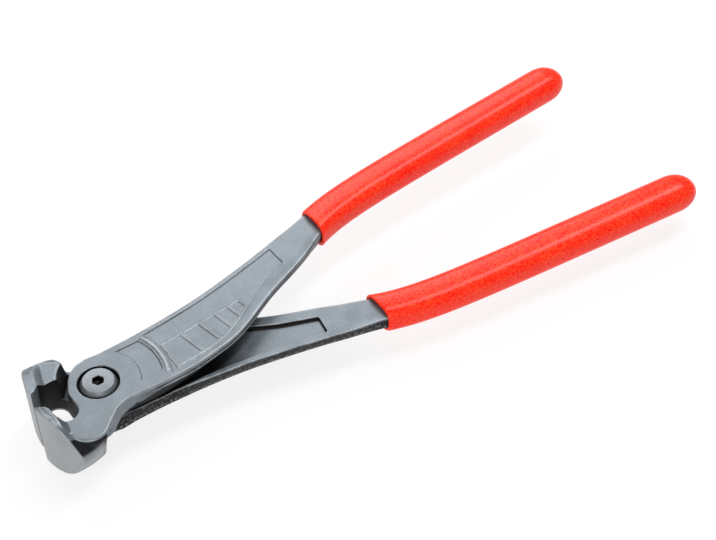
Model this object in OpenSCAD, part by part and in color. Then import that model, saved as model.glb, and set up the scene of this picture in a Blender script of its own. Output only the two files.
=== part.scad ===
// Rebar tying pliers: end-cutting nippers with two long, slim handles.
// The origin is on the pivot's axis, in the plane where the two levers lap.
// +X runs to the handles, +Y to the upper lever's handle, +Z out of its face.
// The lower lever is the same forging, turned half a turn about the X axis.

/* [Lever] */
// Thickness of each lever
lever_t = 6.6; // [6:0.1:7.5]
// Gap between the two levers where they lap
lap_gap = 0.1; // [0.05:0.05:0.2]
// Radius of the round boss at the pivot
boss_r = 11; // [10.5:0.1:11.5]
// Distance from the pivot to the trimmed front of the boss
boss_front = 8.6; // [8.2:0.1:9.5]
// Angle of the trimmed front against the Y axis
boss_front_deg = 16; // [10:1:20]

/* [Arm] */
// Length of the broad arm behind the pivot
belly_l = 36; // [32:1:38]
// How far the arm's outer edge has risen where the inner edge turns in
belly_rise = 1.4; // [0.5:0.1:3]
// Distance from the pivot to the waist of the arm
waist_x = 71; // [68:1:74]
// Height of the inner edge at the waist
waist_in = 3.1; // [2:0.1:5]
// Height of the outer edge at the waist
waist_out = 19; // [18:0.1:20]
// Width of the arm where the grip starts
shank_w = 10.3; // [9:0.1:10.6]
// Depth of the pocket on the lap side
pocket_d = 1.8; // [1:0.1:2.5]
// Width of the pocket's rim along the outer edge
rim_out = 1.8; // [1.4:0.1:3]
// Width of the pocket's rim along the inner edge
rim_in = 4.4; // [3.5:0.1:5]
// Depth of the sunk panel on the outer face
panel_d = 0.3; // [0.2:0.05:0.5]
// Width of the face left around the panel
panel_rim = 2; // [1.5:0.1:3]

/* [Jaw] */
// Distance from the pivot to the cutting edges
edge_x = 22; // [21:0.1:24]
// Length of each cutting edge
edge_l = 26.4; // [24:0.1:28]
// Gap between the closed cutting edges
edge_gap = 0.7; // [0.6:0.05:1]
// How far a jaw's middle lies past the lap plane
jaw_shift = 2.9; // [2:0.1:3.5]
// Width of each jaw from the cutting edge to its outer side
jaw_w = 19.4; // [18.5:0.1:20]
// Radius of the jaws' ground front face
front_r = 26; // [24:1:40]
// Set-back of the inner bevel from the middle
bevel_y = 2; // [1.5:0.1:2.5]
// Length over which the jaw's crown falls to the lever's face
crown_l = 4.5; // [3.5:0.1:5]
// Distance from the pivot to the heel of the jaw
heel_x = 6.5; // [6:0.1:8]
// Depth of the heel past the lap plane
heel_z = 7; // [6:0.1:8]
// Room between a jaw and the other lever's boss
boss_room = 0.5; // [0.4:0.1:1]

/* [Throat] */
// Radius of the hollow behind the cutting edges
throat_r = 4; // [3.5:0.1:4.2]
// Distance from the pivot to the middle of the hollow
throat_x = 13.9; // [13.7:0.1:14.2]
// Distance from the middle plane to the middle of the hollow
throat_y = 4.6; // [4:0.1:5]

/* [Web] */
// Radius of the round corner behind the jaw
corner_r = 6; // [5:0.1:6.5]
// Distance from the pivot to the middle of that corner, along the tool
corner_x = 12; // [11.5:0.1:12.5]
// Distance from the pivot to the middle of that corner, across the tool
corner_y = 13.4; // [13:0.1:13.8]

/* [Pivot] */
// Radius of the bolt's shoulder
bolt_r = 4; // [3.6:0.1:4.4]
// Running clearance around the shoulder
bolt_clear = 0.05; // [0.02:0.01:0.1]
// Radius of the thread
thread_r = 3; // [2.5:0.1:3.3]
// Radius of the bolt's head
head_r = 6.4; // [6:0.1:6.6]
// Radius of the flat on the head
head_flat_r = 5.6; // [5:0.1:5.8]
// How far the head stands out of the lever
head_proud = 0.9; // [0.5:0.1:1.2]
// Height of the cone around the head's flat
head_cone = 1.3; // [0.8:0.1:1.6]
// Radius of the counterbore for the head
cbore_r = 7; // [6.9:0.1:7.4]
// Depth of the counterbore
cbore_d = 2.4; // [2:0.1:3]
// Hexagon of the head's socket, across flats
socket_af = 3.4; // [3:0.1:4]
// Depth of the socket
socket_d = 2; // [1.5:0.1:2.5]
// Hexagon of the nut, across flats
nut_af = 10.6; // [10:0.1:11]
// Height of the nut
nut_h = 2.2; // [2:0.1:2.6]

/* [Grip] */
// Distance from the pivot to the start of the grips
grip_x = 95.5; // [90:0.5:100]
// Distance from the pivot to the tips of the grips
tip_x = 228; // [215:1:245]
// Distance of the tips from the middle plane
tip_y = 36.4; // [34:0.1:40]
// Flare of each grip away from the middle plane
flare_deg = 5; // [4:0.5:6]
// How much the grip's axis bends in at its start
bend = 4.7; // [3.5:0.1:5.5]
// Length over which that bend dies out
bend_l = 13.4; // [12:0.1:16]
// Width of the grip at its start
grip_w0 = 13; // [12.6:0.1:14]
// Width of the grip near its tip
grip_w1 = 14.9; // [14:0.1:16]
// Height of the grip at its start
grip_h0 = 10.4; // [10:0.1:11]
// Height of the grip near its tip
grip_h1 = 12; // [11:0.1:13]
// Length of the grip's round tip
tip_l = 10; // [7:0.5:12]
// Solid length of the grip past the end of the tang
tip_solid = 14; // [12:0.5:20]
// Width of the tang at its end
tang_w = 7.6; // [6:0.1:8]

/* [Hidden] */
$fn = 96;
steel = [0.56, 0.59, 0.62];
bright_steel = [0.62, 0.65, 0.67];
red_vinyl = [0.90, 0.14, 0.10];
// Steps along each smooth edge, and rings and sides of a grip
edge_steps = 6;
grip_rings = 20;
tip_rings = 7;
grip_sides = 28;
// How square a grip's section is: 2 is an ellipse
grip_square = 2.5;
lap = lap_gap / 2;
face_t = lever_t - lap;
mid_z = (lever_t + lap) / 2;
edge_top = edge_l / 2 - jaw_shift;
edge_bottom = -edge_l / 2 - jaw_shift;
jaw_side = throat_x + throat_r;
tang_x = tip_x - tip_solid;
seat_z = lever_t - cbore_d;
// Surplus by which a cut runs past the face it opens
over = 1;

// A smooth curve through hand-chosen points (Catmull-Rom)
function blend4(a, b, c, d, t) =
    (2 * b + (c - a) * t + (2 * a - 5 * b + 4 * c - d) * t * t
    + (3 * b - a - 3 * c + d) * t * t * t) / 2;
function curve(p) = [
    for (i = [0 : len(p) - 2], k = [0 : edge_steps - 1])
        blend4(p[max(i - 1, 0)], p[i], p[i + 1], p[min(i + 2, len(p) - 1)], k / edge_steps),
    p[len(p) - 1]
];
function turned(p) = [for (i = [len(p) - 1 : -1 : 0]) p[i]];
function shifted(p, dy) = [for (q = p) [q.x, q.y + dy]];

// The grip's axis in plan: a straight flare with a bend that dies out from the start
function decay(x) = exp(-(x - grip_x) / bend_l);
function axis_y(x) = tip_y - tan(flare_deg) * (tip_x - x) - bend * decay(x);
function axis_slope(x) = tan(flare_deg) + bend / bend_l * decay(x);
function across(x) = [-axis_slope(x), 1] / norm([axis_slope(x), 1]);
function beside(x, d) = [x, axis_y(x)] + d * across(x);

// Edges of the arm in plan, from the pivot to the start of the grip
shank_out = beside(grip_x, shank_w / 2);
shank_in = beside(grip_x, -shank_w / 2);
outer_edge = [
    [0, boss_r],
    [belly_l * 0.4, boss_r],
    [belly_l, boss_r + belly_rise],
    [waist_x, waist_out],
    shank_out
];
inner_edge = [
    [0, -boss_r],
    [belly_l * 0.5, -boss_r],
    [belly_l, -boss_r],
    [belly_l + (waist_x - belly_l) * 0.3, -boss_r + 2],
    [belly_l + (waist_x - belly_l) * 0.7, waist_in - 4.6],
    [waist_x, waist_in],
    shank_in
];
// Ends of the pocket and of the panel along the arm
pocket_x0 = boss_r + 5;
pocket_x1 = waist_x + 4;
panel_x0 = boss_r + 12;
panel_x1 = waist_x + 6;

// The tang inside the grip tapers along the grip's axis
tang_steps = 10;
tang_xs = [for (i = [0 : tang_steps]) grip_x + (tang_x - grip_x) * i / tang_steps];
function tang_half(x) = (shank_w + (tang_w - shank_w) * (x - grip_x) / (tang_x - grip_x)) / 2;

module arm_plan() {
    polygon(concat(
        curve(outer_edge),
        [for (x = tang_xs) if (x > grip_x) beside(x, tang_half(x))],
        turned([for (x = tang_xs) if (x > grip_x) beside(x, -tang_half(x))]),
        turned(curve(inner_edge))
    ));
}

// Everything on the handle's side of the boss's trimmed front
module behind_boss_front() {
    rotate(-boss_front_deg) translate([-boss_front, -2 * edge_x]) square([4 * edge_x, 4 * edge_x]);
}

module boss_plan() {
    intersection() {
        circle(boss_r);
        behind_boss_front();
    }
}

// Joins the boss to the jaw, with a round corner outside and the throat inside
module web_plan() {
    difference() {
        union() {
            translate([-corner_x, -corner_y]) circle(corner_r);
            polygon([
                [0, 0],
                [-throat_x + throat_r, -throat_y],
                [-jaw_side, -throat_y],
                [-corner_x - corner_r, -corner_y],
                [-corner_x, -corner_y - corner_r],
                [-corner_x + corner_r * 0.8, -corner_y - corner_r * 0.6],
                [-corner_x + corner_r * 1.3, -corner_y - corner_r * 0.1],
                [0, -boss_r - 0.9],
                [boss_r * 0.45, -boss_r]
            ]);
        }
        throat_plan();
    }
}

module throat_plan() {
    translate([-throat_x, -throat_y]) circle(throat_r);
    translate([-jaw_side, -throat_y]) square([2 * throat_r, 2 * throat_y]);
}

// Lip of the jaw in plan: cutting edge, inner bevel and the width of the jaw
module lip_plan() {
    polygon([
        [-edge_x - over, -edge_gap / 2],
        [-edge_x, -edge_gap / 2],
        [-jaw_side, -bevel_y],
        [-jaw_side + over, -throat_y - throat_r],
        [-corner_x, -jaw_w],
        [-edge_x - over, -jaw_w]
    ]);
}

// Outline of the jaw seen from the front: a straight cutting edge and a round outer side
module tongue() {
    rotate([90, 0, 90]) translate([0, 0, -edge_x - over]) linear_extrude(edge_x) {
        translate([edge_l / 2 - jaw_w, -jaw_shift]) circle(edge_l / 2);
        translate([edge_l / 2 - jaw_w, edge_bottom]) square([jaw_w - edge_l / 2, edge_l]);
    }
}

// Outline of the jaw seen from the side: falling crown, slanting underside and heel
module side_profile() {
    crown_slope = (edge_top - lever_t) / crown_l;
    under_slope = (-heel_z - edge_bottom) / (edge_x - heel_x);
    rotate([90, 0, 0]) linear_extrude(jaw_w + over) polygon([
        [-edge_x - over, edge_top + crown_slope * over],
        [-edge_x + crown_l, lever_t],
        [-heel_x, lever_t],
        [-heel_x, -heel_z],
        [-edge_x - over, edge_bottom - under_slope * over]
    ]);
}

module jaw() {
    difference() {
        intersection() {
            translate([0, 0, edge_bottom - over]) linear_extrude(edge_l + 2 * over) intersection() {
                union() {
                    lip_plan();
                    web_plan();
                }
                translate([front_r - edge_x, 0]) circle(front_r);
            }
            tongue();
            side_profile();
        }
        translate([0, 0, edge_bottom - over]) linear_extrude(edge_l + 2 * over) throat_plan();
        translate([0, 0, edge_bottom - over]) cylinder(r = boss_r + boss_room, h = lap - edge_bottom + over);
    }
}

module pocket() {
    outer = [for (p = curve(outer_edge)) if (p.x > pocket_x0 && p.x < pocket_x1) p];
    inner = [for (p = curve(inner_edge)) if (p.x > pocket_x0 && p.x < pocket_x1 - 3) p];
    translate([0, 0, lap - over]) linear_extrude(pocket_d + over)
        polygon(concat(shifted(outer, -rim_out), turned(shifted(inner, rim_in))));
}

module panel() {
    outer = [for (p = curve(outer_edge)) if (p.x > panel_x0 && p.x < panel_x1) p];
    inner = [for (p = curve(inner_edge)) if (p.x > panel_x0 && p.x < panel_x1) p];
    translate([0, 0, lever_t - panel_d]) linear_extrude(panel_d + over)
        polygon(concat(shifted(outer, -panel_rim), turned(shifted(inner, panel_rim))));
}

module lever() {
    color(steel) difference() {
        union() {
            translate([0, 0, lap]) linear_extrude(face_t) union() {
                arm_plan();
                boss_plan();
                web_plan();
            }
            jaw();
        }
        cylinder(r = bolt_r + bolt_clear, h = 4 * lever_t, center = true);
        translate([0, 0, seat_z]) cylinder(r = cbore_r, h = cbore_d + over);
        pocket();
        panel();
    }
}

module upper_lever() {
    lever();
}

module lower_lever() {
    rotate([180, 0, 0]) lever();
}

module pivot_bolt() {
    top = lever_t + head_proud;
    seat = seat_z + bolt_clear;
    color(bright_steel) difference() {
        rotate_extrude() polygon([
            [0, top],
            [head_flat_r, top],
            [head_r, top - head_cone],
            [head_r, seat],
            [bolt_r, seat],
            [bolt_r, -seat_z],
            [thread_r, -seat_z],
            [thread_r, -seat_z - nut_h],
            [0, -seat_z - nut_h]
        ]);
        translate([0, 0, top - socket_d]) cylinder(d = socket_af / cos(30), h = socket_d + over, $fn = 6);
    }
}

module pivot_nut() {
    color(bright_steel) translate([0, 0, -seat_z - nut_h]) difference() {
        cylinder(d = nut_af / cos(30), h = nut_h, $fn = 6);
        translate([0, 0, -over]) cylinder(r = thread_r + bolt_clear, h = nut_h + 2 * over);
    }
}

// One ring of a grip: a rounded section square to the grip's axis
function signed_power(v) = sign(v) * pow(abs(v), 2 / grip_square);
function grip_ring(x, size) =
    let (s = (x - grip_x) / (tip_x - grip_x))
    let (half_w = size * (grip_w0 + (grip_w1 - grip_w0) * s) / 2)
    let (half_h = size * (grip_h0 + (grip_h1 - grip_h0) * s) / 2)
    [
        for (k = [0 : grip_sides - 1])
            let (a = 360 * k / grip_sides)
            let (p = beside(x, half_w * signed_power(cos(a))))
            [p.x, p.y, mid_z + half_h * signed_power(sin(a))]
    ];

module grip() {
    body_l = tip_x - tip_l - grip_x;
    rings = concat(
        [for (i = [0 : grip_rings]) grip_ring(grip_x + body_l * i / grip_rings, 1)],
        [for (i = [1 : tip_rings])
            let (a = 88 * i / tip_rings)
            grip_ring(tip_x - tip_l + tip_l * sin(a), sqrt(cos(a)))]
    );
    n = grip_sides;
    last = len(rings) - 1;
    start = len(rings) * n;
    middles = [[grip_x, axis_y(grip_x), mid_z], [tip_x, axis_y(tip_x), mid_z]];
    sides = [
        for (i = [0 : last - 1], k = [0 : n - 1], half = [0, 1])
            let (k2 = (k + 1) % n)
            half == 0 ? [i * n + k, i * n + k2, (i + 1) * n + k]
                : [i * n + k2, (i + 1) * n + k2, (i + 1) * n + k]
    ];
    caps = [
        for (k = [0 : n - 1], end = [0, 1])
            let (k2 = (k + 1) % n)
            end == 0 ? [start, k2, k] : [start + 1, last * n + k, last * n + k2]
    ];
    color(red_vinyl) difference() {
        polyhedron([for (r = rings) each r, each middles], concat(sides, caps));
        translate([0, 0, lap]) linear_extrude(face_t) arm_plan();
    }
}

module upper_grip() {
    grip();
}

module lower_grip() {
    rotate([180, 0, 0]) grip();
}

upper_lever();
lower_lever();
pivot_bolt();
pivot_nut();
upper_grip();
lower_grip();
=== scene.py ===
import math

import bpy
import numpy as np
from mathutils import Matrix


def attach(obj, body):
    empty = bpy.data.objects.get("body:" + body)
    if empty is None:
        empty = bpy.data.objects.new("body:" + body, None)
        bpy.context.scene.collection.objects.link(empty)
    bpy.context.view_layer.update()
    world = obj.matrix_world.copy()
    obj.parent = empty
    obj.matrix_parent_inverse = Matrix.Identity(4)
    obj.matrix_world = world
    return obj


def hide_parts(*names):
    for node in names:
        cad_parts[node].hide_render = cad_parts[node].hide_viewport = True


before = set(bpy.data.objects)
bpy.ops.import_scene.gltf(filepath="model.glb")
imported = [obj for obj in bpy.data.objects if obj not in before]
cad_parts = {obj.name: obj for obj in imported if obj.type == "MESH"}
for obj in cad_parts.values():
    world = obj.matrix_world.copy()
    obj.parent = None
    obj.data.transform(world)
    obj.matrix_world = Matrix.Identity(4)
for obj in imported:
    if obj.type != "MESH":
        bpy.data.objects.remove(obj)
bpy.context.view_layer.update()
mm = 0.001  # the shapes are worked out in millimetres, the meshes are in metres
aroundSteps = 96  # points round a turned or swept piece

# Both levers are one forging: the lower one is turned half a turn about X
lever = {
    "thick": 6.6,        # lap plane to outer face
    "lap": 0.05,         # half the gap between the levers
    "bossR": 10.5,
    "bossFront": 8.25,   # trimmed front of the boss
    "bossFrontDeg": 17.0,
    "bossCorner": 4.0,
    "webFillet": 2.5, "armRound": 1.0,
    "outerEdge": [(-14, 11), (0, 11), (12, 10.9), (28, 11.8), (44, 13.6), (62, 17.1), (82, 22.0)],
    "innerEdge": [(-14, -11), (3, -11.1), (10, -11.7), (20, -12.1), (29, -11.9), (36, -10.8), (42.6, -9.6),
                  (47.6, -8.1), (52.7, -5.9), (60.6, -1.7), (65.3, 0.7), (70.9, 3.1), (76.5, 5.3), (86, 9.5)],
    "outerDraft": 1.0,   # the outer side leans out towards the lap, more along the arm
    "armDraft": 2.2, "armSpan": (18, 38),
    "bossLean": 0.2, "leanSpan": (2.5, 9),   # part of that lean beside the boss, which passes the other jaw
    "shankLean": ([78, 94.5, 99], [1, 0.36, 0.1]),   # part of it along the shank
    "relieved": 0.6,     # the arm's lap side lies back from the joint's lap plane
    "relievedSpan": (34, 62),
    "shankFall": 0.5,    # and falls off to the outer edge at the shank
    "shankSpan": (70, 90), "shankWide": 8,
    "innerDraft": 0.5,   # the inner side leans out as far as its seam
    "seamNeck": 2.2,     # height of that seam at the neck and along the arm
    "seamArm": 4.7, "seamSpan": (2, 17),
    "underNeck": 1.0,    # below the seam the inner side falls back this far
    "underArm": 3.4, "underSpan": (10, 40),
    "tangEven": 0.6, "tangSpan": (84, 95),   # the inner side is more upright at the tang
    "grooveDeep": 0.25,  # a fine groove along the inner side, a little below the face
    "grooveDown": 1.15, "grooveIn": (10, 16), "grooveOut": (58, 66),
    "stripFall": (0.12, 0.05),   # the strips beside the relief fall off to the outer and the inner edge
    "stripIn": (20, 34), "stripOut": (74, 80),
    "nearFall": 0.034,   # along the arm the inner edge falls off more, with the square of the way
    "nearWide": 3.6, "nearSpan": (36, 54),
    "topRound": 0.75,
    "lapRound": 0.5,
    "cell": 0.26,        # size of the mesh's cells
    "keep": 0.66,        # part of the triangles kept where the surface is flat
    # the grid is filled a slab at a time, and behind headX only near the arm
    "gridY": (-21.5, 43), "gridZ": (-17.2, 12.0), "headX": 1.0, "headY": 13, "slab": 24, "tangSlices": 60,
}
jaw = {
    "edgeX": 22.0,
    "edgeGap": 0.7,
    "frontR": 32.0,
    # outline of the ground front, seen from the front: its upper and lower edge
    "upper": [(-21, -9), (-19.5, -4.6), (-18.5, -2), (-17.2, 0.9), (-15.6, 4.2), (-12.9, 7.9), (-10.3, 9.6),
              (-7.5, 10.25), (-4, 10.3), (2, 10.3)],
    "lower": [(-21, 3.6), (-19.5, -0.5), (-18.5, -3), (-17, -6.6), (-15.1, -10.3), (-12.2, -12.9),
              (-8, -14.4), (-4, -15.2), (0, -15.75), (2, -15.75)],
    "endRound": 1.6, "footRound": 0.7, "frontRound": 0.3, "roomRound": 0.6, "bevelRound": 0.2,
    "landX": -18.8,      # the crown is flat up to here, then hollow down to the plate
    "crownFall": 3.2,
    "footLand": 2.7,     # flat behind the front at the far end
    "footFall": 3.6,
    "footZ": -11.0,
    # back of the jaw, by height
    "heel": [(-16, -6.4), (-10, -6.8), (-5, -5.9), (-1.5, -4.6), (0.3, -4.8), (3, -9.5), (11, -10)],
    "heelRound": 1.6,
    # the foot's back corner is cut off on this slant, less higher up
    "cutX": 8.0, "cutY": 13.6, "cutTurn": (0.55, 0.835), "cutEase": 2.2, "cutSpan": (-11.5, -7), "cutRound": 2.5,
    "bossRoom": 1.1,
    "bossCone": 0.22,    # the room round the boss widens away from the lap
    "cornerX": 10.6, "cornerY": 13.2, "cornerR": 6.5, "neckR": 10.0,
    "tuck": 1.9,         # the wall under the plate's rim lies back
    "tuckX": (4, 9), "tuckY": (9, 13), "tuckDown": 0.5, "tuckHigh": 1.8,
    "throatX": 13.9, "throatY": 4.6, "throatR": 4.0,
    "throatDraft": 0.2,  # the throat's wall leans in away from the lever's face
    "throatFlare": 0.1, "throatTaper": 0.04,   # its front side widens above and below the face
    "bevelY": 2.0,
    "edgeRound": 2.0,    # the bevel behind the edge runs round into the throat
}
pocket = {
    "start": 9.0, "end": 75.9, "endLean": 0.18, "endY": 12.7,
    "rimOut": ([14, 26, 38, 60, 76], [-0.75, -0.3, -0.1, 0.6, 0.8]),
    "rimNeck": 3.9, "rimIn": 6.3, "rimSpan": (34, 54),
    "depth": 1.7, "floorSpan": (10, 26), "shallower": 0.3, "shallowSpan": (30, 70),
    "cornerRound": 1.0, "endRound": 0.8, "floorRound": 0.4, "rimRound": 0.2,
}
relief = {
    "sink": 0.4, "farRim": 1.8, "endX": 77.0, "ribR": 22.0, "ribHigh": 0.3, "ribHalf": 9.2, "soft": 0.3,
    "bandR": (13.3, 20.6), "bandY": (-7.2, 8.3), "fieldR": 23.2,   # short field round the joint, and the long one
    # a row of cells, each narrower than the last
    "cells": 5, "cellLeft": 23.9, "cellWide": 7.6, "cellGap": 0.9, "cellLine": 0.2, "cellLean": 0.2,
    "narrower": (0.9, 0.4), "rowR": 24.2, "rowLow": 1.0, "rowX": 23, "rowTop": 2.2, "rowRise": 0.075,
    # lower edge of the long field
    "near": [(18, -10.6), (26, -9.6), (36, -8.8), (43.4, -7.2), (49.6, -4.3), (55.8, -0.5), (63, 3.9),
             (69.5, 7.2), (77, 10.5)],
}
grip = {
    "startX": 95.5, "tipX": 228.0, "tipY": 36.4, "flareDeg": 5.0, "bend": 4.4, "bendLen": 13.4,
    "upperEnds": (96.2, 225.2), "lowerEnds": (94.7, 228.0),  # each sleeve's own rim and tip
    "rimWide": 12.9, "tipWide": 14.7, "rimHigh": 10.7, "tipHigh": 12.1, "square": 2.9, "squareTip": 2.3, "tipLen": 9.5,
    "rimLen": 16.0,      # the rim is cut square to the tool, and the rings turn to the axis over this length
    "lip": 0.7, "tipRound": 0.8, "midZ": 0.3,   # the sleeve's middle lies over the lever's
    "shank": 10.3, "tang": 7.6, "tangEnd": 214.0, "boreRoom": (0.12, 0.08), "boreSquare": 9,
}
bolt = {
    "headR": 5.85, "flatR": 5.2, "proud": 0.9, "cone": 1.3, "boreR": 6.8, "boreDepth": 2.4,
    "shoulderR": 4.0, "threadR": 3.0, "socketAcross": 3.4, "socketDepth": 2.0, "clear": 0.05,
    "nutAcross": 10.6, "nutHigh": 2.2, "boreRound": 0.1, "seatRound": 0.25, "socketRim": 2.05,
}


def roundMax(a, b, r):
    # Intersection of two solids whose shared edge is rounded to radius r
    u = np.maximum(r + a, 0)
    v = np.maximum(r + b, 0)
    return np.minimum(-r, np.maximum(a, b)) + np.sqrt(u * u + v * v)


def roundMin(a, b, r):
    # Union of two solids whose shared corner is filled to radius r
    return -roundMax(-a, -b, r)


def ramp(x, lo, hi):
    # 0 below lo, 1 above hi, smooth between
    t = np.clip((x - lo) / (hi - lo), 0, 1)
    return t * t * (3 - 2 * t)


def curveThrough(points, x):
    # Height and slope of a smooth curve through points, by cubic pieces that share their slopes
    px = np.array([p[0] for p in points], float)
    py = np.array([p[1] for p in points], float)
    slope = np.gradient(py, px)
    x = np.clip(x, px[0], px[-1] - 1e-6)
    i = np.clip(np.searchsorted(px, x, side="right") - 1, 0, len(px) - 2)
    h = px[i + 1] - px[i]
    t = (x - px[i]) / h
    y = (py[i] * (1 + 2 * t) * (1 - t) ** 2 + py[i + 1] * t * t * (3 - 2 * t)
         + slope[i] * h * t * (1 - t) ** 2 - slope[i + 1] * h * t * t * (1 - t))
    s = ((py[i + 1] - py[i]) / h * 6 * t * (1 - t)
         + slope[i] * (1 - t) * (1 - 3 * t) + slope[i + 1] * t * (3 * t - 2))
    return y, s


def gripAxis(x):
    # A straight flare with a bend that dies out from the grip's start; returns height and slope
    fade = np.exp(-(x - grip["startX"]) / grip["bendLen"])
    flare = math.tan(math.radians(grip["flareDeg"]))
    y = grip["tipY"] - flare * (grip["tipX"] - x) - grip["bend"] * fade
    return y, flare + grip["bend"] / grip["bendLen"] * fade


def beside(x, d):
    # The point d to the side of the grip's axis
    y, s = gripAxis(x)
    n = np.sqrt(1 + s * s)
    return x - d * s / n, y + d / n


# The arm's edges run on along the tang, inside the sleeve
tangXs = np.concatenate([np.linspace(grip["startX"], 112, 4), np.linspace(125, grip["tangEnd"] + 4, 6)])
tangHalf = np.interp(tangXs, [grip["startX"], grip["tangEnd"]], [grip["shank"] / 2, grip["tang"] / 2])
outerEdge = lever["outerEdge"] + list(zip(*beside(tangXs, tangHalf)))
innerEdge = lever["innerEdge"] + list(zip(*beside(tangXs, -tangHalf)))


def edgeDistances(x, y):
    # How far a plan point lies outside the arm's outer and inner edges
    yo, so = curveThrough(outerEdge, x)
    yi, si = curveThrough(innerEdge, x)
    return (y - yo) / np.sqrt(1 + so * so), (yi - y) / np.sqrt(1 + si * si)


def throatDistance(x, y, z):
    # A round-bottomed slot behind the cutting edges, shallower away from the lever's face
    depth = jaw["throatY"] - jaw["throatDraft"] * np.clip(lever["thick"] - z, 0, 20)
    wide = (jaw["throatFlare"] * np.clip(z - lever["thick"], 0, 4)
            + jaw["throatTaper"] * np.clip(lever["thick"] - z, 0, 22))
    dx = x + jaw["throatX"] + wide * (x < -jaw["throatX"])
    dy = np.minimum(y + depth, 0)
    return np.sqrt(dx * dx + dy * dy) - jaw["throatR"]


def planDistance(x, y):
    # Outline of the lever's plate: arm, boss with its trimmed front, and the web to the jaw
    dOut, dIn = edgeDistances(x, y)
    arm = roundMax(roundMax(dOut, dIn, lever["armRound"]), np.maximum(-x, x - grip["tangEnd"]), lever["armRound"])
    a = math.radians(lever["bossFrontDeg"])
    front = -x * math.cos(a) + y * math.sin(a) - lever["bossFront"]
    boss = roundMax(np.hypot(x, y) - lever["bossR"], front, lever["bossCorner"])
    cx, cy, cr = -jaw["cornerX"], -jaw["cornerY"], jaw["cornerR"]
    t = np.clip((x * cx + y * cy) / (cx * cx + cy * cy), 0, 1)
    web = np.hypot(x - t * cx, y - t * cy) - jaw["neckR"] + (jaw["neckR"] - cr) * t
    return roundMin(np.minimum(arm, boss), web, lever["webFillet"]), dOut, dIn


def frontDistance(x, y):
    # How far a plan point lies in front of the jaw's round front
    return np.hypot(x - jaw["frontR"] + jaw["edgeX"], y) - jaw["frontR"]


def innerSide(dOut, dIn):
    # 0 along the arm's outer edge, 1 along its inner edge, smooth across the middle
    return ramp(dIn - dOut, -3, 3)


def seamHeight(x):
    # Height of the inner side's seam, rising from the neck to the arm
    return lever["seamNeck"] + (lever["seamArm"] - lever["seamNeck"]) * ramp(x, *lever["seamSpan"])


def line(d, half, soft):
    # A stroke of given half width around d = 0
    return 1 - ramp(np.abs(d), half, half + soft)


def reliefHeight(x, y, dOut):
    # Sunk fields with thin raised lines on the lever's outer face, as a height over that face
    r = np.hypot(x, y)
    farY = dOut + relief["farRim"]
    soft = relief["soft"]
    (r0, r1), (y0, y1) = relief["bandR"], relief["bandY"]
    inBand = np.minimum.reduce([r - r0, r1 - r, y1 - y, y - y0])
    nearY = curveThrough(relief["near"], x)[0]
    inField = np.minimum.reduce([r - relief["fieldR"], relief["endX"] - x, -farY, y - nearY])
    h = -relief["sink"] * (ramp(inBand, 0, soft) + ramp(inField, 0, soft))
    h = h + relief["ribHigh"] * line(r - relief["ribR"], 0.3, 0.7) * ramp(relief["ribHalf"] - np.abs(y), 0, 1)
    # A row of leaning cells along the near border, each outlined by a thin raised line
    topY = relief["rowTop"] + relief["rowRise"] * (x - relief["rowX"])
    low = nearY + relief["rowLow"]
    lean = relief["cellLean"] * (topY - y)
    left = relief["cellLeft"]
    width = relief["cellWide"]
    share, less = relief["narrower"]
    for k in range(relief["cells"]):
        inside = np.minimum.reduce([x - lean * (k > 0) - left, left + width - x + lean, topY - y, y - low,
                                    r - relief["rowR"]])
        h = h + relief["cellLine"] * line(inside, 0.2, 0.45)
        left = left + width + relief["cellGap"]
        width = width * share - less
    return h


def lapHeight(x, dOut):
    # The lap plane round the joint, and the relieved side of the arm
    return (lever["lap"] + lever["relieved"] * ramp(x, *lever["relievedSpan"])
            + lever["shankFall"] * ramp(x, *lever["shankSpan"]) * np.clip(1 + dOut / lever["shankWide"], 0, 1.2) ** 3)


def pocketRims(x):
    # Distances of the pocket from the arm's outer and inner edges
    rimIn = pocket["rimNeck"] + (pocket["rimIn"] - pocket["rimNeck"]) * ramp(x, *pocket["rimSpan"])
    return np.interp(x, *pocket["rimOut"]), rimIn


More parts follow.
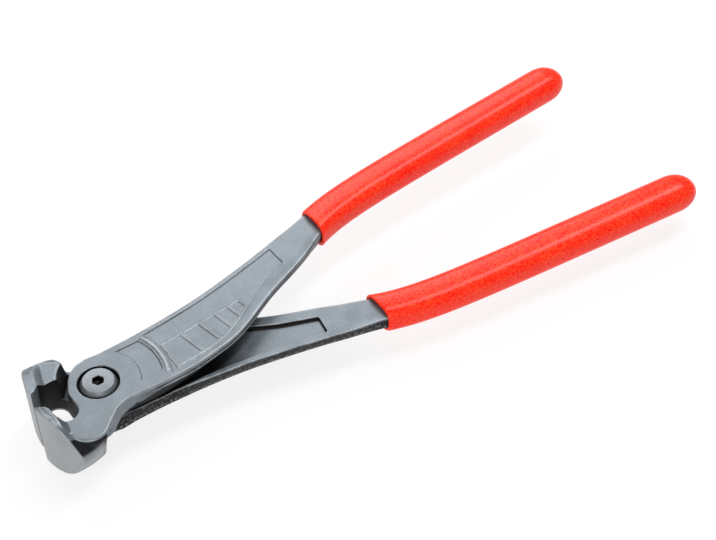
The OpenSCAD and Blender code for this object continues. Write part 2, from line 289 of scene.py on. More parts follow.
def leverField(x, y, z):
    # Signed field of the upper lever, negative inside, in millimetres
    plan, dOut, dIn = planDistance(x, y)
    t = lever["thick"]
    lap = lapHeight(x, dOut)
    inner = innerSide(dOut, dIn)
    # Sides: the outer one leans out to the lap, the inner one to its seam and then back
    seam = seamHeight(x)
    under = lever["underNeck"] + (lever["underArm"] - lever["underNeck"]) * ramp(x, *lever["underSpan"])
    draft = lever["outerDraft"] + (lever["armDraft"] - lever["outerDraft"]) * ramp(x, *lever["armSpan"])
    beyondBoss = lever["bossLean"] + (1 - lever["bossLean"]) * ramp(x, *lever["leanSpan"])
    outerLean = draft * np.clip((t - z) / t, 0, 1) * beyondBoss
    innerLean = (lever["innerDraft"] * np.clip((t - z) / (t - seam), 0, 1)
                 - under * np.clip((seam - z) / seam, 0, 1) ** 1.2)
    tang = ramp(x, *lever["tangSpan"])
    outerLean = outerLean * np.interp(x, *lever["shankLean"])
    side = plan - (1 - inner) * outerLean - inner * innerLean * (1 - lever["tangEven"] * tang)
    groove = inner * ramp(x, *lever["grooveIn"]) * (1 - ramp(x, *lever["grooveOut"]))
    side = side + lever["grooveDeep"] * groove * line(z - t + lever["grooveDown"], 0.12, 0.3)
    # The strips beside the relief and the arm's inner edge fall away a little
    strip = ramp(x, *lever["stripIn"]) * (1 - ramp(x, *lever["stripOut"]))
    nearY = curveThrough(relief["near"], x)[0]
    outFall, inFall = lever["stripFall"]
    fall = strip * (outFall * np.clip(dOut + relief["farRim"], 0, 4) + inFall * np.clip(nearY - y, 0, 5))
    fall = fall + lever["nearFall"] * ramp(x, *lever["nearSpan"]) * np.clip(dIn + lever["nearWide"], 0, 4) ** 2
    # The crown rises over the plate towards the cutting edge. It is steep, so its field is divided by its slope
    upper, upperSlope = curveThrough(jaw["upper"], y)
    away = np.clip((x - jaw["landX"]) / jaw["crownFall"], 0, 1)
    rise = np.maximum(upper - t, 0) * (1 - away) ** 2 * (1 + 2 * away)
    top = t + reliefHeight(x, y, dOut) - fall + rise
    cap = (z - top) / (1 + 0.8 * (rise > 0))
    lobe = ramp(-x, *jaw["tuckX"]) * ramp(-y, *jaw["tuckY"])
    side = side + lobe * jaw["tuck"] * ramp(t - jaw["tuckDown"] - z, 0, jaw["tuckHigh"])
    plate = roundMax(roundMax(side, cap, lever["topRound"]), lap - z, lever["lapRound"])

    # Pocket on the lap side, with a flat floor that comes up towards the joint
    rimOut, rimIn = pocketRims(x)
    endX = pocket["end"] - pocket["endLean"] * (y - pocket["endY"])
    inPocket = roundMax(dOut + rimOut, dIn + rimIn, pocket["cornerRound"])
    inPocket = roundMax(inPocket, np.maximum(pocket["start"] - x, x - endX), pocket["endRound"])
    shallow = 1 - pocket["shallower"] * ramp(x, *pocket["shallowSpan"])
    depth = pocket["depth"] * ramp(x, *pocket["floorSpan"]) * shallow
    plate = roundMax(plate, -roundMax(inPocket, z - lap - depth, pocket["floorRound"]), pocket["rimRound"])

    # Jaw: ground round front within its outline, crown, foot, bevel, heel and room for the other boss
    front = frontDistance(x, y)
    lower, lowerSlope = curveThrough(jaw["lower"], y)
    outline = roundMax((z - upper) / np.sqrt(1 + upperSlope ** 2), (lower - z) / np.sqrt(1 + lowerSlope ** 2),
                       jaw["endRound"])
    inward = np.clip((-front - jaw["footLand"]) / jaw["footFall"], 0, 1)
    foot = jaw["footZ"] + np.minimum(lower - jaw["footZ"], 0) * (1 - inward) ** 2 * (1 + 2 * inward) - z
    foot = foot / (1 + 1.2 * (inward > 0) * (inward < 1))
    bx, by = jaw["edgeX"] - jaw["throatX"] - jaw["throatR"], jaw["edgeGap"] / 2 - jaw["bevelY"]
    bevel = (bx * (y + jaw["edgeGap"] / 2) - by * (x + jaw["edgeX"])) / math.hypot(bx, by)
    throat = -throatDistance(x, y, z)
    block = roundMax(front, roundMax(outline, foot, jaw["footRound"]), jaw["frontRound"])
    block = roundMax(block, cap, jaw["frontRound"])
    heel, heelSlope = curveThrough(jaw["heel"], z)
    block = roundMax(block, (x - heel) / np.sqrt(1 + heelSlope ** 2), jaw["heelRound"])
    ax, ay = jaw["cutTurn"]
    corner = ax * (x + jaw["cutX"]) - ay * (y + jaw["cutY"]) - jaw["cutEase"] * ramp(z, *jaw["cutSpan"])
    block = roundMax(block, corner, jaw["cutRound"])
    r = np.hypot(x, y)
    cone = lever["bossR"] + jaw["bossRoom"] + jaw["bossCone"] * np.clip(-t - z, 0, 10)
    block = roundMax(block, np.minimum(cone - r, lever["lap"] - z), jaw["roomRound"])
    block = roundMax(block, roundMax(bevel, throat, jaw["edgeRound"]), jaw["bevelRound"])
    bevel = np.where(x < -jaw["throatX"], bevel, -9.0)
    plate = roundMax(plate, roundMax(bevel, throat, jaw["edgeRound"]), jaw["bevelRound"])
    body = np.minimum(plate, block)
    # Bolt's bore and counterbore
    body = roundMax(body, bolt["shoulderR"] + bolt["clear"] - r, bolt["boreRound"])
    seat = np.minimum(bolt["boreR"] - r, z - t + bolt["boreDepth"])
    return roundMax(body, seat, bolt["seatRound"])


def netSurface(xs, ys, zs, values):
    # Surface where the values cross zero: one point per mixed cell, one quad per crossed grid edge
    inside = values < 0
    n = values.shape
    corners = [(i, j, k) for i in (0, 1) for j in (0, 1) for k in (0, 1)]
    cut = [slice(0, -1), slice(1, None)]
    count = sum(inside[cut[i], cut[j], cut[k]].astype(np.int8) for i, j, k in corners)
    ci, cj, ck = np.nonzero((count > 0) & (count < 8))
    grid = np.stack([np.stack([xs[ci + i], ys[cj + j], zs[ck + k]], -1) for i, j, k in corners])
    val = np.stack([values[ci + i, cj + j, ck + k] for i, j, k in corners])
    total = np.zeros((len(ci), 3))
    hits = np.zeros(len(ci))
    for a in range(8):
        for b in range(a + 1, 8):
            if sum(p != q for p, q in zip(corners[a], corners[b])) != 1:
                continue
            crossed = (val[a] < 0) != (val[b] < 0)
            w = np.where(crossed, val[a] / np.where(crossed, val[a] - val[b], 1), 0)
            total += np.where(crossed[:, None], grid[a] + w[:, None] * (grid[b] - grid[a]), 0)
            hits += crossed
    points = total / hits[:, None]
    index = -np.ones([m - 1 for m in n], np.int32)
    index[ci, cj, ck] = np.arange(len(ci))
    quads = []
    for axis in range(3):
        others = [q for q in range(3) if q != axis]
        lo = [slice(1, -1)] * 3
        lo[axis] = slice(0, -1)
        hi = list(lo)
        hi[axis] = slice(1, None)
        a, b = inside[tuple(lo)], inside[tuple(hi)]
        at = np.array(np.nonzero(a != b))
        for q in others:
            at[q] += 1
        ring = []   # the four cells round each crossed edge
        for s0, s1 in ((1, 1), (0, 1), (0, 0), (1, 0)):
            c = at.copy()
            c[others[0]] -= s0
            c[others[1]] -= s1
            ring.append(index[c[0], c[1], c[2]])
        quad = np.stack(ring, -1)
        leaves = inside[at[0], at[1], at[2]]   # the edge runs out of the solid
        flip = leaves if axis != 1 else ~leaves
        quad = np.where(flip[:, None], quad, quad[:, ::-1])
        quads.append(quad)
    return points, np.concatenate(quads)


def fieldSlopes(p, h):
    # The lever's field at points with its gradient and curvature, by central differences
    mid = leverField(p[:, 0], p[:, 1], p[:, 2])
    grad = np.zeros_like(p)
    bend = np.zeros(len(p))
    for axis in range(3):
        step = np.zeros(3)
        step[axis] = h
        up = leverField(*(p + step).T)
        down = leverField(*(p - step).T)
        grad[:, axis] = (up - down) / (2 * h)
        bend += (up + down - 2 * mid) / (h * h)
    return mid, grad, bend


def meshObject(name, points, faces, normals=None):
    # A mesh from arrays: points in millimetres, quads or triangles by index
    mesh = bpy.data.meshes.new(name)
    size = faces.shape[1]
    mesh.vertices.add(len(points))
    mesh.vertices.foreach_set("co", np.ascontiguousarray(points * mm, np.float32).ravel())
    mesh.loops.add(faces.size)
    mesh.loops.foreach_set("vertex_index", np.ascontiguousarray(faces, np.int32).ravel())
    mesh.polygons.add(len(faces))
    mesh.polygons.foreach_set("loop_start", np.arange(0, faces.size, size, dtype=np.int32))
    mesh.polygons.foreach_set("use_smooth", np.ones(len(faces), bool))
    mesh.update(calc_edges=True)
    mesh.validate()
    if normals is not None:
        mesh.normals_split_custom_set_from_vertices(normals.tolist())
    piece = bpy.data.objects.new(name, mesh)
    bpy.context.scene.collection.objects.link(piece)
    return piece


def addMask(piece, name, values):
    # A named number per vertex, for the material to read
    layer = piece.data.attributes.new(name, "FLOAT", "POINT")
    layer.data.foreach_set("value", np.ascontiguousarray(values, np.float32))


def thinOut(points, quads, keep):
    # Fewer triangles where the surface is flat
    rough = meshObject("rough", points, quads)
    cut = rough.modifiers.new("thin", "DECIMATE")
    cut.ratio = keep
    fine = rough.evaluated_get(bpy.context.evaluated_depsgraph_get()).to_mesh()
    fine.calc_loop_triangles()
    p = np.zeros(3 * len(fine.vertices), np.float32)
    fine.vertices.foreach_get("co", p)
    f = np.zeros(3 * len(fine.loop_triangles), np.int32)
    fine.loop_triangles.foreach_get("vertices", f)
    rough.to_mesh_clear()
    old = rough.data
    bpy.data.objects.remove(rough)
    bpy.data.meshes.remove(old)
    return p.reshape(-1, 3).astype(float) / mm, f.reshape(-1, 3)


def settle(points, rounds):
    # Moves points onto the field's zero surface along its slope
    for k in range(rounds):
        f, g = fieldSlopes(points, 0.05)[:2]
        step = f / np.maximum((g * g).sum(1), 0.05)
        points = points - np.clip(step, -0.25, 0.25)[:, None] * g
    return points


def forgeLever():
    # The lever's surface from its field, on a grid that is coarse along the hidden tang
    c = lever["cell"]
    head = np.arange(-jaw["edgeX"] - 1.2, grip["startX"] + 6, c)
    xs = np.concatenate([head, np.linspace(head[-1], grip["tangEnd"] + 2, lever["tangSlices"])[1:]])
    ys = np.arange(*lever["gridY"], c)
    zs = np.arange(*lever["gridZ"], c)
    slab = lever["slab"]
    values = np.ones((len(xs), len(ys), len(zs)), np.float32)
    headEnd = np.searchsorted(xs, lever["headX"])
    for i in range(0, len(xs), slab):
        j = min(i + slab, len(xs))
        if i < headEnd:
            yLo, yHi = lever["gridY"][0], lever["headY"]
            zLo, zHi = lever["gridZ"]
        else:
            yLo = curveThrough(innerEdge, xs[i:j])[0].min() - 2
            yHi = curveThrough(outerEdge, xs[i:j])[0].max() + 2.5
            zLo, zHi = -1, lever["thick"] + 1.2
        y0, y1 = np.searchsorted(ys, (yLo, yHi))
        z0, z1 = np.searchsorted(zs, (zLo, zHi))
        grid = np.meshgrid(xs[i:j], ys[y0:y1], zs[z0:z1], indexing="ij")
        values[i:j, y0:y1, z0:z1] = leverField(*grid)
    points, quads = netSurface(xs, ys, zs, values)
    points, faces = thinOut(settle(points, 2), quads, lever["keep"])
    points = settle(points, 2)
    g, bend = fieldSlopes(points, 0.12)[1:]
    normals = g / np.maximum(np.linalg.norm(g, axis=1, keepdims=True), 1e-6)
    return points, faces, normals, bend


points, faces, normals, bend = forgeLever()
print("lever surface:", len(points), "points,", len(faces), "triangles")


finish = {
    "frontX": -12, "endX": -7.5, "endY": (-17, -15), "endZ": (-1.5, 0),   # ground: the jaw's front and the foot's end
    "trimX": (-4, 0), "trimZ": (3.4, 4.8),   # scale starts at the joint and thins towards the face, so the side is darker towards the lap: a painted shade between the levers
    # extents of the painted shade in the recesses
    "underX": (54, 62), "tuckedZ": (5.0, 5.8), "wallZ": 5.5, "roomR": 14.5,
    "pocketX": (2, 6), "pocketEnd": (36, 54), "pocketMouth": (6, 14), "pocketZ": (-0.5, 3.2),
    "sideDark": ([6, 12, 40, 52, 60, 70, 95], [0, 0.4, 0.45, 0.75, 0.7, 0.3, 0.2]),   # painted shade on the inner side along the arm
    "castR": (12.5, 13.5), "castX": (76, 78), "castZ": (5.2, 5.8),
    "wearAndHighlight": (0.45, 1.5), "shadedBend": (0.3, 1.4), "castShadedBend": (2, 5),   # how sharply the surface bends there
}


def leverMasks(p, n, bend):
    # Where the finish and the painted light change: ground faces, trimmed side with painted glints, edges worn and
    # with a painted highlight, and painted shade in the pocket and dark corners
    x, y, z = p.T
    front = frontDistance(x, y)
    onFront = (1 - ramp(np.abs(front), 0.1, 0.3)) * (x < finish["frontX"])
    onEnd = (x < finish["endX"]) * (1 - ramp(z, *finish["endZ"])) * ramp(-n[:, 1], 0.3, 0.6)
    onEnd = onEnd * (1 - ramp(y, *finish["endY"]))
    dOut, dIn = edgeDistances(x, y)
    steep = 1 - ramp(np.abs(n[:, 2]), 0.35, 0.7)
    inner = innerSide(dOut, dIn)
    seam = seamHeight(x)
    r = np.hypot(x, y)
    # Scale on the outer sides, darker towards the lap: a painted shade between the levers
    trim = steep * (1 - inner) * ramp(x, *finish["trimX"]) * (1 - 0.5 * ramp(z, *finish["trimZ"])) * (1 - onFront)
    # Painted shade in dark places: the inner side and under its seam, under the plate's rim, the throat, behind the
    # jaw, and in the pocket near the joint and along its far wall
    under = inner * (1 - ramp(z, seam - 0.4, seam)) * (1 - ramp(x, *finish["underX"])) * steep * (x > -4)
    tucked = (x < -7) * (y < -9) * (1 - ramp(z, *finish["tuckedZ"])) * ramp(z, -4, -1) * (n[:, 2] < 0.8)
    wall = (np.abs(throatDistance(x, y, z)) < 0.4) * (z < finish["wallZ"]) * steep
    room = (r < finish["roomR"]) * (x < -5) * (x > -14) * (y < 0) * (y > -11) * (z < -0.3) * steep
    rimOut, rimIn = pocketRims(x)
    (x0, x1), (z0, z1) = finish["pocketMouth"], finish["pocketZ"]
    below = np.maximum(ramp(-n[:, 2], -0.2, 0.3), (x > x0) * (x < x1)) * (z < z1) * (z > z0)
    hollow = (1 - ramp(dOut + rimOut, -0.6, 0.2)) * below
    hollow = hollow * ramp(x, *finish["pocketX"]) * (1 - ramp(x, *finish["pocketEnd"]))
    side = np.interp(x, *finish["sideDark"])
    side = side * inner * steep * (z > 0) * (0.6 + 0.6 * ramp(lever["thick"] - 0.7 - z, 0, 1.4))
    farWall = ramp(-np.abs(dIn + rimIn + 0.3), -1.0, -0.5) * below * (x < pocket["end"])
    farWall = farWall * (z > lapHeight(x, dOut) + 0.25)
    shade = np.clip(under + side + tucked + wall + room + hollow + farWall, 0, 1) * (1 - onFront)
    cast = ramp(r, *finish["castR"]) * (1 - ramp(x, *finish["castX"])) * (x > 8) * ramp(z, *finish["castZ"])
    # Lighter on sharp edges, partly wear and partly a painted highlight, and a painted highlight along the rib;
    # painted shade in the creases, less of it on the cast relief
    rib = line(r - relief["ribR"], 0.5, 0.4) * ramp(relief["ribHalf"] - np.abs(y), 0, 1)
    edge = ramp(bend, *finish["wearAndHighlight"]) * (1 - np.clip(wall + room + tucked + hollow, 0, 1))
    castCreaseShade = (0.7 - 0.5 * ramp(r, 19.5, 21)) * ramp(-bend, *finish["castShadedBend"])
    creaseShade = np.where(cast > 0.5, castCreaseShade, ramp(-bend, *finish["shadedBend"]))
    # the counterbore's wall gets the same painted shade
    bore = (r < bolt["boreR"] + 0.15) * (z > 1) * (z < 6.3)
    return {"ground": np.clip(onFront + onEnd, 0, 1), "trim": trim, "shade": shade, "cast": cast,
            "edge": np.maximum(edge, cast * rib), "creaseShade": np.maximum(creaseShade, bore)}


masks = leverMasks(points, normals, bend)
halfTurn = np.array([1, -1, -1])
leverPieces = []
for node, body, turn in (("upper_lever", "upper_half", np.ones(3)), ("lower_lever", "lower_half", halfTurn)):
    piece = meshObject("forged_" + node, points * turn, faces, normals * turn)
    for name, values in masks.items():
        addMask(piece, name, values)
    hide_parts(node)
    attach(piece, body)
    leverPieces.append(piece)
print("levers placed")


def ringSurface(rings, closed=False):
    # Quads between rings of equal length, an array of ring, step, xyz. The first and last ring of an open strip
    # are poles: each becomes one point, and the quads become triangles
    count, steps = rings.shape[:2]
    last = count if closed else count - 1
    i = np.arange(last)[:, None]
    k = np.arange(steps)[None, :]
    j, k2 = (i + 1) % count, (k + 1) % steps
    quads = np.stack(np.broadcast_arrays(i * steps + k, i * steps + k2, j * steps + k2, j * steps + k), -1)
    quads = quads.reshape(-1, 4)
    if closed:
        return rings.reshape(-1, 3), quads
    points = np.concatenate([rings[:1].mean(1), rings[1:-1].reshape(-1, 3), rings[-1:].mean(1)])
    quads = np.clip(quads - steps + 1, 0, len(points) - 1)
    triangles = np.concatenate([quads[:, :3], quads[:, [0, 2, 3]]])
    flat = (triangles == np.roll(triangles, 1, axis=1)).any(1)
    return points, triangles[~flat]


around = np.linspace(0, 2 * math.pi, aroundSteps, endpoint=False)


def turned(profile):
    # Rings about the Z axis from radius and height pairs; either may vary with the angle
    c, d = np.cos(around), np.sin(around)
    return np.array([np.stack([r * c, r * d, np.full(aroundSteps, z)], -1) for r, z in profile])


def hexRadius(across):
    # Radius of a hexagon at each step round it
    return across / 2 / np.cos(np.mod(around, math.pi / 3) - math.pi / 6)


def arc(r, z, radius, fromDeg, toDeg, count=5):
    # Rounded corner of a turned profile about the centre r, z
    a = np.radians(np.linspace(fromDeg, toDeg, count))
    return [(r + radius * math.cos(t), z + radius * math.sin(t)) for t in a]


def makeBolt():
    # One turned piece from the socket's floor over the head, down the shoulder and thread to the tip
    hexR = hexRadius(bolt["socketAcross"])
    top = lever["thick"] + bolt["proud"]
    coneZ = top - bolt["cone"]
    seat = lever["thick"] - bolt["boreDepth"] + bolt["clear"]
    tip = -(lever["thick"] - bolt["boreDepth"] + bolt["nutHigh"])
    coneDeg = math.degrees(math.atan2(bolt["headR"] - bolt["flatR"], bolt["cone"]))
    profile = [(0.0, top - bolt["socketDepth"] - 0.5), (hexR * 0.98, top - bolt["socketDepth"]),
               (hexR, top - 0.25), (hexR + 0.2, top)]
    profile += arc(bolt["flatR"] - 0.3, top - 0.35, 0.35, 90, coneDeg, 6)
    profile += arc(bolt["headR"] - 0.25, coneZ - 0.15, 0.25, coneDeg, 0, 4)
    profile += [(bolt["headR"], seat + 0.2), (bolt["headR"] - 0.2, seat), (bolt["shoulderR"], seat),
                (bolt["shoulderR"], -seat + 0.1), (bolt["threadR"], -seat), (bolt["threadR"], tip + 0.3),
                (bolt["threadR"] - 0.3, tip), (0.0, tip)]
    return ringSurface(turned(profile))


def makeNut():
    # A chamfered hexagon ring on the thread
    hexR = hexRadius(bolt["nutAcross"])
    high = -(lever["thick"] - bolt["boreDepth"] + bolt["clear"])
    low = high + bolt["clear"] - bolt["nutHigh"]
    hole = bolt["threadR"] + 0.02
    chamferR = np.minimum(hexR, bolt["nutAcross"] / 2 * 1.02)
    profile = [(hole, high), (hexR, high), (hexR, low + 0.5 * (hexR - chamferR) + 0.02),
               (chamferR - 0.05, low), (hole + 0.3, low), (hole, low + 0.3)]
    return ringSurface(turned(profile), closed=True)


def placeTurned(name, node, shape):
    # Sharp where two turned faces meet at more than 30 degrees
    piece = meshObject(name, *shape)
    x, y, z = shape[0].T
    # the socket's inside is marked for a painted shade
    inSocket = (np.hypot(x, y) < bolt["socketRim"]) * (np.abs(z) < lever["thick"] + bolt["proud"] - 0.1)
    addMask(piece, "socket", inSocket)
    piece.data.set_sharp_from_angle(angle=math.radians(30))
    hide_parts(node)
    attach(piece, "lower_half")
    return piece


boltPiece = placeTurned("turned_pivot_bolt", "pivot_bolt", makeBolt())
nutPiece = placeTurned("turned_pivot_nut", "pivot_nut", makeNut())
print("bolt and nut placed")


def makeGrip(startX, tipX):
    # Rings across the bent axis: up the bore over the tang, round the rim, along the outside, over the tip
    c, d = np.cos(around), np.sin(around)

    def ring(x, hw, hh, square):
        # A squared oval of half width hw and half height hh, which turns from the rim's cut to the axis
        y, s = gripAxis(x)
        tilt = s * float(ramp(x, startX, startX + grip["rimLen"]))
        n = math.sqrt(1 + tilt * tilt)
        hw = hw * math.sqrt(1 + s * s) * n / (1 + s * tilt)
        u = hw * np.sign(c) * np.abs(c) ** (2 / square)
        v = hh * np.sign(d) * np.abs(d) ** (2 / square)
        return np.stack([x - u * tilt / n, y + u / n, lever["thick"] / 2 + grip["midZ"] + v], -1)

    def outer(x):
        # Half width, half height and squareness along the sleeve
        t = (x - startX) / (tipX - startX)
        return ((grip["rimWide"] + (grip["tipWide"] - grip["rimWide"]) * t) / 2,
                (grip["rimHigh"] + (grip["tipHigh"] - grip["rimHigh"]) * t) / 2,
                grip["square"] + (grip["squareTip"] - grip["square"]) * t)

    def bore(x):
        # Half width and half height of the room for the tang
        half = np.interp(x, [grip["startX"], grip["tangEnd"]], [grip["shank"] / 2, grip["tang"] / 2])
        wide, high = grip["boreRoom"]
        return half + wide, (lever["thick"] - lever["relieved"]) / 2 + high

    rings = [ring(grip["tangEnd"] + 1, 0.001, 0.001, 2)]
    for x in np.linspace(grip["tangEnd"] + 1, startX + 1, 24):
        rings.append(ring(x, *bore(x), grip["boreSquare"]))
    lip = grip["lip"]
    for t in np.radians(np.linspace(180, 90, 7)):
        x = startX + lip + lip * math.cos(t)
        hw, hh, square = outer(x)
        rings.append(ring(x, hw - lip + lip * math.sin(t), hh - lip + lip * math.sin(t), square))
    end = tipX - grip["tipLen"]
    for x in np.linspace(startX + 1.2, end, 90):
        rings.append(ring(x, *outer(x)))
    for t in np.radians(np.linspace(0, 90, 22)[1:]):
        x = end + grip["tipLen"] * math.sin(t)
        hw, hh, square = outer(x)
        k = max(math.cos(t), 1e-4) ** grip["tipRound"]
        rings.append(ring(x, hw * k, hh * k, 2 + (square - 2) * math.cos(t)))
    return ringSurface(np.array(rings))


gripPieces = []
for name, body, turn in (("upper", "upper_half", np.ones(3)), ("lower", "lower_half", halfTurn)):
    gripPoints, gripFaces = makeGrip(*grip[name + "Ends"])
    piece = meshObject("dipped_" + name + "_grip", gripPoints * turn, gripFaces)
    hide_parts(name + "_grip")
    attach(piece, body)
    gripPieces.append(piece)
print("grips placed:", len(gripFaces), "triangles each")


def put(tree, kind, sets=None, ins=None):
    # A shader node with its settings, and its inputs as values or links
    node = tree.nodes.new(kind)
    for key, value in (sets or {}).items():
        setattr(node, key, value)
    for key, value in (ins or {}).items():
        if isinstance(value, bpy.types.NodeSocket):
            tree.links.new(value, node.inputs[key])
        else:
            node.inputs[key].default_value = value
    return node


def number(tree, operation, *values, clamp=False):
    # One step of arithmetic on values or links
    return put(tree, "ShaderNodeMath", {"operation": operation, "use_clamp": clamp},
               dict(enumerate(values))).outputs[0]


def blendColour(tree, factor, a, b, kind="MIX"):
    # Colour a at factor 0, b at 1
    node = put(tree, "ShaderNodeMix", {"data_type": "RGBA", "blend_type": kind}, {0: factor, 6: a, 7: b})
    return node.outputs[2]


def between(tree, value, lo, hi, out0=0.0, out1=1.0):
    # Value from lo..hi mapped to out0..out1, held at the ends
    return put(tree, "ShaderNodeMapRange", {"clamp": True},
               {0: value, 1: lo, 2: hi, 3: out0, 4: out1}).outputs[0]


def newGroup(name, ins, outs):
    # A node group with named inputs and outputs
    group = bpy.data.node_groups.new(name, "ShaderNodeTree")
    for key, kind, value in ins:
        group.interface.new_socket(name=key, in_out="INPUT", socket_type=kind).default_value = value
    for key, kind in outs:
        group.interface.new_socket(name=key, in_out="OUTPUT", socket_type=kind)
    return group, group.nodes.new("NodeGroupInput"), group.nodes.new("NodeGroupOutput")


def grainGroup():
    # Fine grain and slow mottling, shared by the steel and the vinyl
    value = "NodeSocketFloat"
    group, gin, gout = newGroup("surfaceGrain", [("Fine", value, 1500.0), ("Slow", value, 120.0)],
                                [("Grain", value), ("Mottle", value)])
    place = put(group, "ShaderNodeTexCoord").outputs["Object"]
    fine = put(group, "ShaderNodeTexNoise", None,
               {"Vector": place, "Scale": gin.outputs["Fine"], "Detail": 3.0, "Roughness": 0.6})
    slow = put(group, "ShaderNodeTexNoise", None,
               {"Vector": place, "Scale": gin.outputs["Slow"], "Detail": 4.0, "Roughness": 0.55})
    group.links.new(fine.outputs[0], gout.inputs["Grain"])
    group.links.new(slow.outputs[0], gout.inputs["Mottle"])
    return group


surfaceGrain = grainGroup()


def newMaterial(name):
    material = bpy.data.materials.new(name)
    material.use_nodes = True
    tree = material.node_tree
    return material, tree, tree.nodes["Principled BSDF"]


def useGrain(tree, fine, slow):
    # The shared grain with a material's own scales, in waves per metre
    node = put(tree, "ShaderNodeGroup", {"node_tree": surfaceGrain}, {"Fine": fine, "Slow": slow})
    return node.outputs


def mask(tree, name):
    # A number per vertex that addMask stored
    return put(tree, "ShaderNodeAttribute", {"attribute_name": name}).outputs["Fac"]


steel = {
    "plate": (0.167, 0.193, 0.215, 1), "ground": (0.315, 0.327, 0.34, 1), "scale": (0.012, 0.013, 0.015, 1),
    "paintedGlints": (0.24, 0.245, 0.245, 1), "shade": (0.022, 0.023, 0.025, 1), "wearAndHighlight": (0.4, 0.425, 0.445, 1),
    "creaseShade": (0.015, 0.015, 0.015, 1), "grain": (1700.0, 140.0), "specks": (1150.0, 300.0),
    "bump": 0.35, "bumpDeep": 0.00007,
}
boltFinish = {
    "plain": (0.2, 0.22, 0.235, 1), "socket": (0.02, 0.02, 0.02, 1), "grain": (2200.0, 300.0),
    "bump": 0.3, "bumpDeep": 0.00004,
}
vinyl = {
    "red": (0.92, 0.007, 0.002, 1), "coral": (0.96, 0.125, 0.035, 1), "rough": 0.3, "gloss": 0.22,
    "grain": (1200.0, 90.0), "bump": 0.35, "bumpDeep": 0.00008,
}


def addBump(tree, shader, height, finish):
    # Fine bump from a height, as strong and deep as the finish says
    bump = put(tree, "ShaderNodeBump", None,
               {"Height": height, "Strength": finish["bump"], "Distance": finish["bumpDeep"]})
    tree.links.new(bump.outputs[0], shader.inputs["Normal"])


def forgedSteel():
    material, tree, shader = newMaterial("forged steel")
    grain, specks = useGrain(tree, *steel["grain"]), useGrain(tree, *steel["specks"])
    trim, shade, cast = mask(tree, "trim"), mask(tree, "shade"), mask(tree, "cast")
    creaseShade = mask(tree, "creaseShade")
    # The trimmed sides are dark scale with many small light specks, painted glints of the rough sheared steel, and
    # fewer of them towards the lap as a painted shade
    paintedGlints = number(tree, "MULTIPLY", between(tree, specks["Grain"], 0.5, 0.62),
                    between(tree, trim, 0.5, 1.0, 0.9, 0.45))
    scale = blendColour(tree, paintedGlints, steel["scale"], steel["paintedGlints"])
    colour = blendColour(tree, between(tree, trim, 0.0, 0.5), steel["plate"], scale)
    # painted shade in the hollows, the throat and under the rims
    colour = blendColour(tree, shade, colour, steel["shade"])
    colour = blendColour(tree, mask(tree, "ground"), colour, steel["ground"])
    # painted shade in the creases and the counterbore
    colour = blendColour(tree, number(tree, "MULTIPLY", creaseShade, 0.9), colour, steel["creaseShade"])
    # edges lighter as wear and as a painted highlight; on the rib a painted highlight
    wearAndHighlight = number(tree, "MULTIPLY", mask(tree, "edge"), between(tree, grain["Mottle"], 0.35, 0.6, 0.15, 0.55))
    colour = blendColour(tree, wearAndHighlight, colour, steel["wearAndHighlight"])
    tone = number(tree, "MULTIPLY", between(tree, grain["Mottle"], 0.3, 0.7, 0.86, 1.12),
                  between(tree, grain["Grain"], 0.3, 0.7, 0.88, 1.12))
    colour = blendColour(tree, 1.0, colour, tone, "MULTIPLY")
    tree.links.new(colour, shader.inputs["Base Color"])
    dull = number(tree, "MAXIMUM", trim, number(tree, "MAXIMUM", creaseShade, shade))
    rough = between(tree, grain["Mottle"], 0.3, 0.7, 0.36, 0.46)
    tree.links.new(number(tree, "MULTIPLY_ADD", dull, 0.22, rough), shader.inputs["Roughness"])
    tree.links.new(between(tree, dull, 0.0, 1.0, 0.6, 0.95), shader.inputs["Metallic"])
    height = number(tree, "MULTIPLY_ADD", number(tree, "MULTIPLY", cast, grain["Mottle"]), 2.0, grain["Grain"])
    addBump(tree, shader, height, steel)
    return material


def boltSteel():
    material, tree, shader = newMaterial("bolt steel")
    grain = useGrain(tree, *boltFinish["grain"])
    tone = number(tree, "MULTIPLY", between(tree, grain["Grain"], 0.3, 0.7, 0.85, 1.15),
                  between(tree, grain["Mottle"], 0.3, 0.7, 0.9, 1.1))
    # painted shade inside the socket
    colour = blendColour(tree, mask(tree, "socket"), boltFinish["plain"], boltFinish["socket"])
    colour = blendColour(tree, 1.0, colour, tone, "MULTIPLY")
    tree.links.new(colour, shader.inputs["Base Color"])
    tree.links.new(between(tree, mask(tree, "socket"), 0.0, 1.0, 0.6, 0.95), shader.inputs["Metallic"])
    tree.links.new(between(tree, grain["Mottle"], 0.3, 0.7, 0.32, 0.42), shader.inputs["Roughness"])
    addBump(tree, shader, grain["Grain"], boltFinish)
    return material


def redVinyl():
    material, tree, shader = newMaterial("red vinyl")
    grain = useGrain(tree, *vinyl["grain"])
    pale = number(tree, "ADD", between(tree, grain["Grain"], 0.4, 0.64, 0.0, 0.5),
                  between(tree, grain["Mottle"], 0.3, 0.7, -0.08, 0.08), clamp=True)
    colour = blendColour(tree, pale, vinyl["red"], vinyl["coral"])
    tree.links.new(colour, shader.inputs["Base Color"])
    tree.links.new(between(tree, grain["Grain"], 0.3, 0.7, vinyl["rough"] - 0.05, vinyl["rough"] + 0.05),
                   shader.inputs["Roughness"])
    shader.inputs["Specular IOR Level"].default_value = vinyl["gloss"]
    addBump(tree, shader, grain["Grain"], vinyl)
    return material


def dress(material, *pieces):
    for piece in pieces:
        piece.data.materials.clear()
        piece.data.materials.append(material)


dress(forgedSteel(), *leverPieces)
dress(boltSteel(), boltPiece, nutPiece)
dress(redVinyl(), *gripPieces)
print("materials assigned")

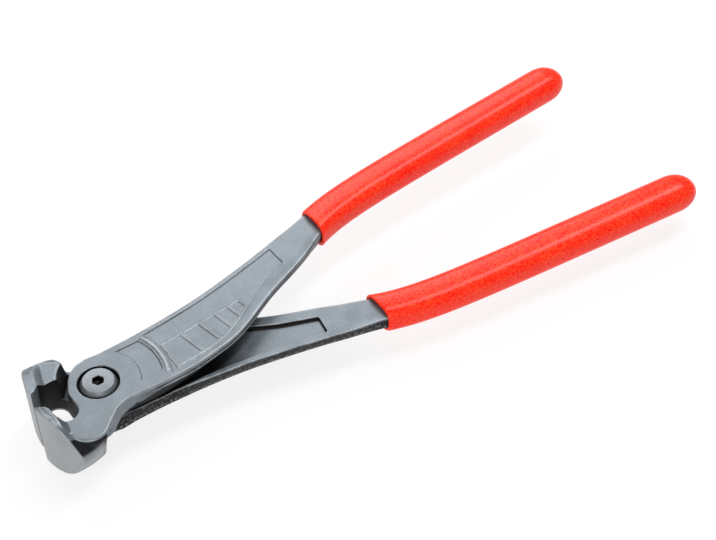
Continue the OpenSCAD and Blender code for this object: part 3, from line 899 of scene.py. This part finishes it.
stage = {
    "floorZ": -16.2, "floorHalf": 2.5, "glow": 0.8, "world": 0.25,
    "seen": (0.9, 0.9, 0.9, 1), "bounce": (0.8, 0.8, 0.8, 1),   # floor colours for the camera and for light
    "lampAway": 0.9, "aim": (0.09, 0, 0),   # the lamps stand this far from a point on the arms
}
lamps = {
    "back_softbox": {"direction": (0.24, 0.75, 0.6), "width": 0.9, "height": 0.42, "radiance": 4.0},
    "top_strip": {"direction": (0.42, 0.05, 0.9), "width": 0.19, "height": 0.8, "radiance": 11.0},
    "key_softbox": {"direction": (-0.45, -0.75, 0.5), "width": 0.6, "height": 0.6, "radiance": 3.0},
    "left_softbox": {"direction": (-0.85, -0.1, 0.5), "width": 0.7, "height": 0.6, "radiance": 1.5},
}


def makeFloor():
    # A square that the camera sees almost white, and that throws light back as plain grey
    h, z = stage["floorHalf"] / mm, stage["floorZ"]
    corners = np.array([(-h, -h, z), (h, -h, z), (h, h, z), (-h, h, z)], float)
    floor = meshObject("floor", corners, np.array([[0, 1, 2, 3]]))
    material, tree, shader = newMaterial("floor")
    out = tree.nodes["Material Output"]
    tree.nodes.remove(shader)
    path = put(tree, "ShaderNodeLightPath")
    seen = put(tree, "ShaderNodeBsdfDiffuse", None, {"Color": stage["seen"]})
    glow = put(tree, "ShaderNodeEmission", None, {"Color": (1, 1, 1, 1), "Strength": 1.0})
    lit = put(tree, "ShaderNodeMixShader", None, {0: stage["glow"], 1: seen.outputs[0], 2: glow.outputs[0]})
    other = put(tree, "ShaderNodeBsdfDiffuse", None, {"Color": stage["bounce"]})
    direct = number(tree, "MAXIMUM", path.outputs["Is Camera Ray"], path.outputs["Is Glossy Ray"])
    direct = number(tree, "MAXIMUM", direct, path.outputs["Is Transmission Ray"])
    both = put(tree, "ShaderNodeMixShader", None, {0: direct, 1: other.outputs[0], 2: lit.outputs[0]})
    tree.links.new(both.outputs[0], out.inputs["Surface"])
    dress(material, floor)


makeFloor()


def softbox(name, direction, width, height, radiance):
    # An area light facing the arms, of the given radiance
    d = np.array(direction, float)
    d = d / np.linalg.norm(d)
    light = bpy.data.lights.new(name, "AREA")
    light.shape = "RECTANGLE"
    light.size, light.size_y = width, height
    light.energy = radiance * width * height * math.pi
    lamp = bpy.data.objects.new(name, light)
    bpy.context.scene.collection.objects.link(lamp)
    side = np.cross((0, 0, 1), d)
    side = side / np.linalg.norm(side)
    up = np.cross(d, side)
    at = d * stage["lampAway"] + np.array(stage["aim"])
    lamp.matrix_world = Matrix([(side[i], up[i], d[i], at[i]) for i in range(3)] + [(0, 0, 0, 1)])


for lampName, lampSettings in lamps.items():
    softbox(lampName, **lampSettings)

world = bpy.data.worlds.new("studio")
world.use_nodes = True
background = world.node_tree.nodes["Background"]
background.inputs["Color"].default_value = (1, 1, 1, 1)
background.inputs["Strength"].default_value = stage["world"]
bpy.context.scene.world = world

camera = {
    "azimuth": -36.018, "elevation": 45.008, "place": (-104.85, -283.33, 347.43), "lens": 71.28, "sensor": 36,
}


def makeCamera():
    # Looks back along its azimuth and elevation, with level sides
    a, e = math.radians(camera["azimuth"]), math.radians(camera["elevation"])
    back = np.array([math.sin(a) * math.cos(e), -math.cos(a) * math.cos(e), math.sin(e)])
    right = np.array([math.cos(a), math.sin(a), 0])
    up = np.cross(back, right)
    lens = bpy.data.cameras.new("camera")
    lens.sensor_width = camera["sensor"]
    lens.lens = camera["lens"]
    lens.clip_start, lens.clip_end = 0.01, 20
    eye = bpy.data.objects.new("camera", lens)
    bpy.context.scene.collection.objects.link(eye)
    at = np.array(camera["place"]) * mm
    eye.matrix_world = Matrix([(right[i], up[i], back[i], at[i]) for i in range(3)] + [(0, 0, 0, 1)])
    bpy.context.scene.camera = eye


makeCamera()
bpy.context.scene.view_settings.view_transform = "Standard"
print("floor, lamps and camera placed")
